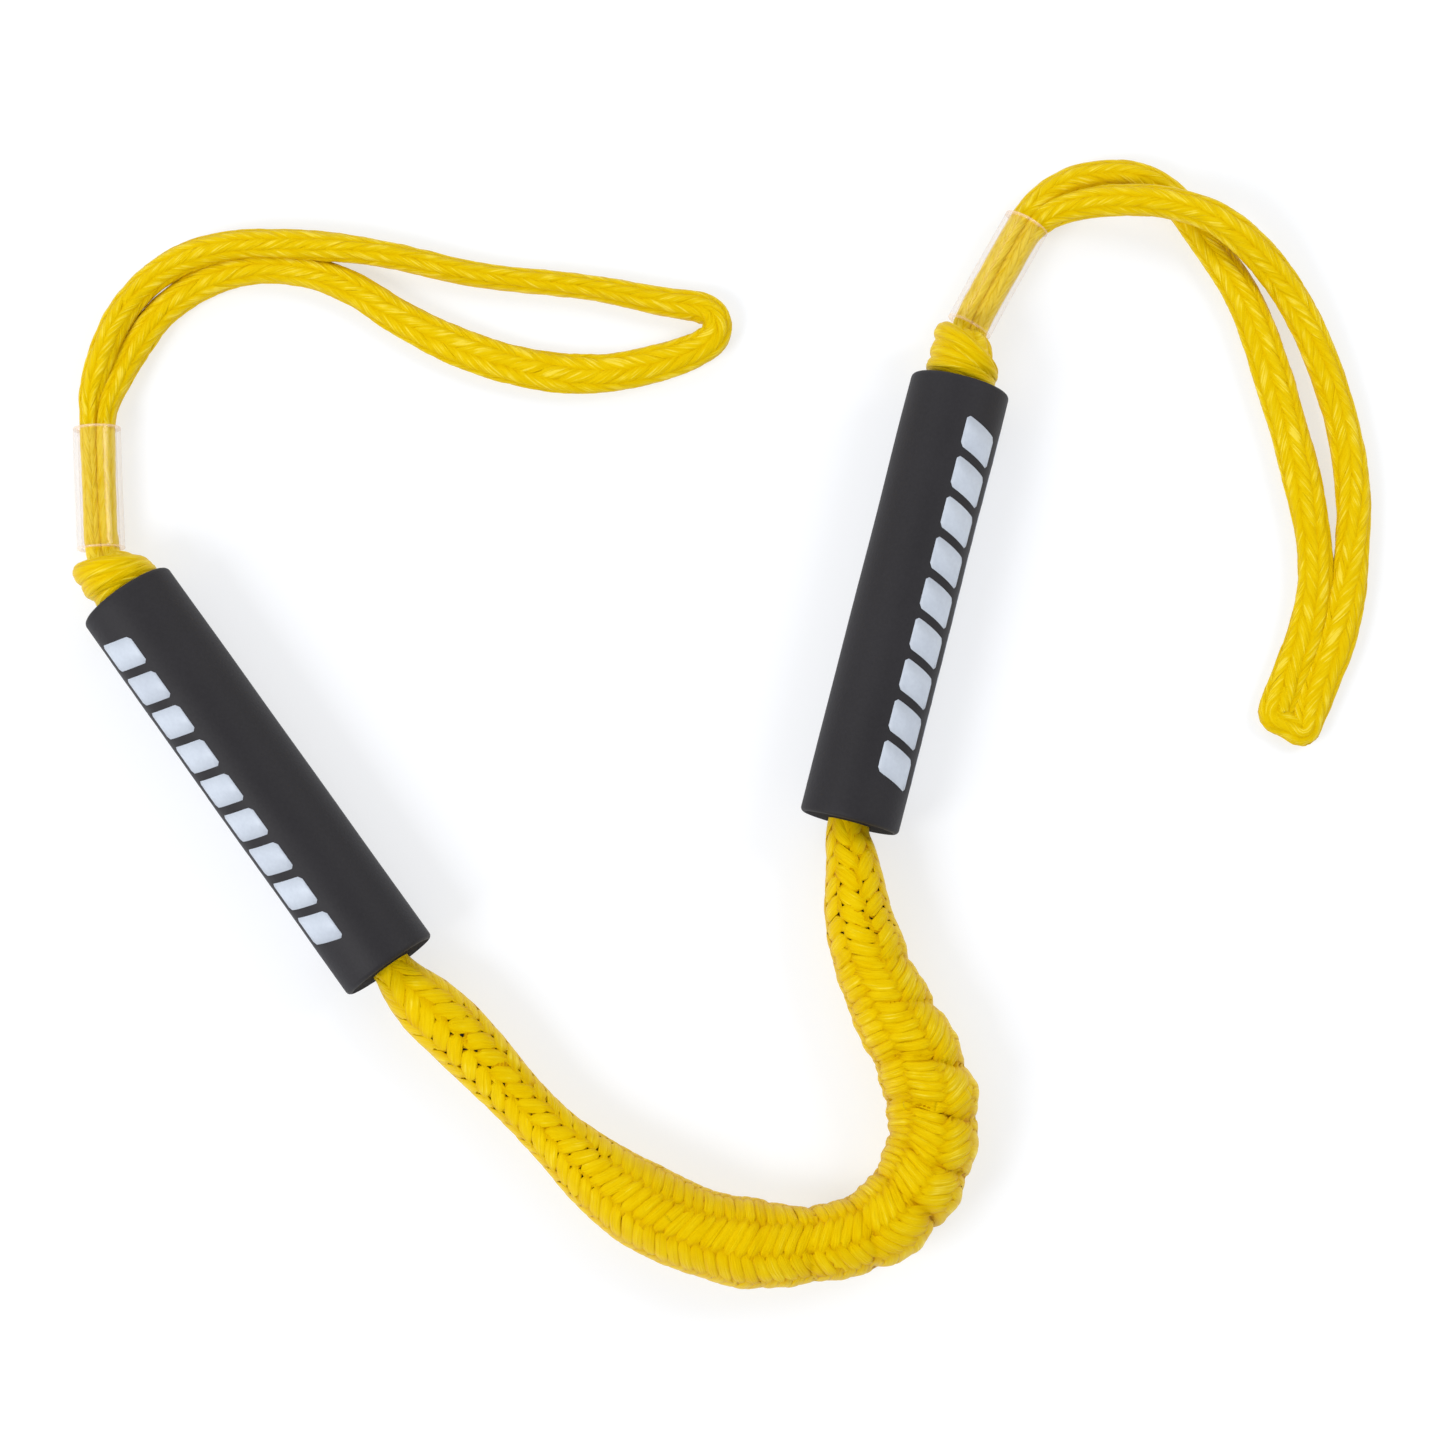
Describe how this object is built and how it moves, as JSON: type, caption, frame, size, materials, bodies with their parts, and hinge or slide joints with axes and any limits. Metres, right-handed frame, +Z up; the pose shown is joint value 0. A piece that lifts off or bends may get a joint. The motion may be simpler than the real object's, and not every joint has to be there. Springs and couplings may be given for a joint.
{
  "type": "elastic dock line",
  "caption": "Elastic mooring line: yellow braided rope gathered over a rubber core, with a foam float, a knot, a clear sleeve and a rope loop at each end.",
  "frame": {"origin": "on the surface that the line lies on, under the middle of the box round both floats", "axes": "+Z up from the surface; +X from the left float to the right float, along the longer side of the box round the two floats"},
  "size_m": [0.4316, 0.3801, 0.033],
  "materials": {
    "rope": "glossy filament braid",
    "foam": "matte closed-cell foam",
    "core": "satin",
    "vinyl": "clear, glossy",
    "crimp": "brushed"
  },
  "bodies": {
    "left_line": {"left_loop": "rope", "left_stem": "rope", "left_knot": "rope", "left_neck": "rope", "left_core_end": "core", "left_crimp": "crimp", "left_braid": "rope", "left_core": "core"},
    "middle_gather": {"middle_braid": "rope", "middle_core": "core"},
    "right_gather": {"right_braid": "rope", "right_core": "core"},
    "right_line": {"right_loop": "rope", "right_stem": "rope", "right_knot": "rope", "right_neck": "rope", "right_core_end": "core", "right_crimp": "crimp"},
    "left_float": {"left_float": "foam"},
    "right_float": {"right_float": "foam"},
    "left_sleeve": {"left_sleeve": "vinyl"},
    "right_sleeve": {"right_sleeve": "vinyl"}
  },
  "joints": [
    {"name": "stretch_left", "type": "slide", "parent": "left_line", "child": "middle_gather", "axis": [0.866, -0.5, 0], "range_m": [0, 0.15], "stiffness_N_per_m": 600, "deforming": ["left_braid", "left_core"]},
    {"name": "stretch_middle", "type": "slide", "parent": "middle_gather", "child": "right_gather", "axis": [0.9903, 0.1392, 0], "range_m": [0, 0.18], "stiffness_N_per_m": 500, "deforming": ["middle_braid", "middle_core"]},
    {"name": "stretch_right", "type": "slide", "parent": "right_gather", "child": "right_line", "axis": [0.4226, 0.9063, 0], "range_m": [0, 0.13], "stiffness_N_per_m": 700, "deforming": ["right_braid", "right_core"]},
    {"name": "left_float_turn", "type": "hinge", "parent": "left_line", "child": "left_float", "pos_m": [-0.0947, -0.0326, 0.0165], "axis": [0.5878, -0.809, 0], "continuous": true},
    {"name": "left_sleeve_slide", "type": "slide", "parent": "left_line", "child": "left_sleeve", "axis": [-0.0558, 0.9984, 0], "range_m": [0, 0.003]},
    {"name": "right_float_turn", "type": "hinge", "parent": "right_line", "child": "right_float", "pos_m": [0.1171, 0.0259, 0.0165], "axis": [-0.2504, -0.9681, 0], "continuous": true},
    {"name": "right_sleeve_slide", "type": "slide", "parent": "right_line", "child": "right_sleeve", "axis": [0.4863, 0.8738, 0], "range_m": [0, 0.003]}
  ],
  "couplings": [
    {"joint": "stretch_middle", "follows": "stretch_left", "ratio": 1.2},
    {"joint": "stretch_right", "follows": "stretch_left", "ratio": 0.86}
  ]
}
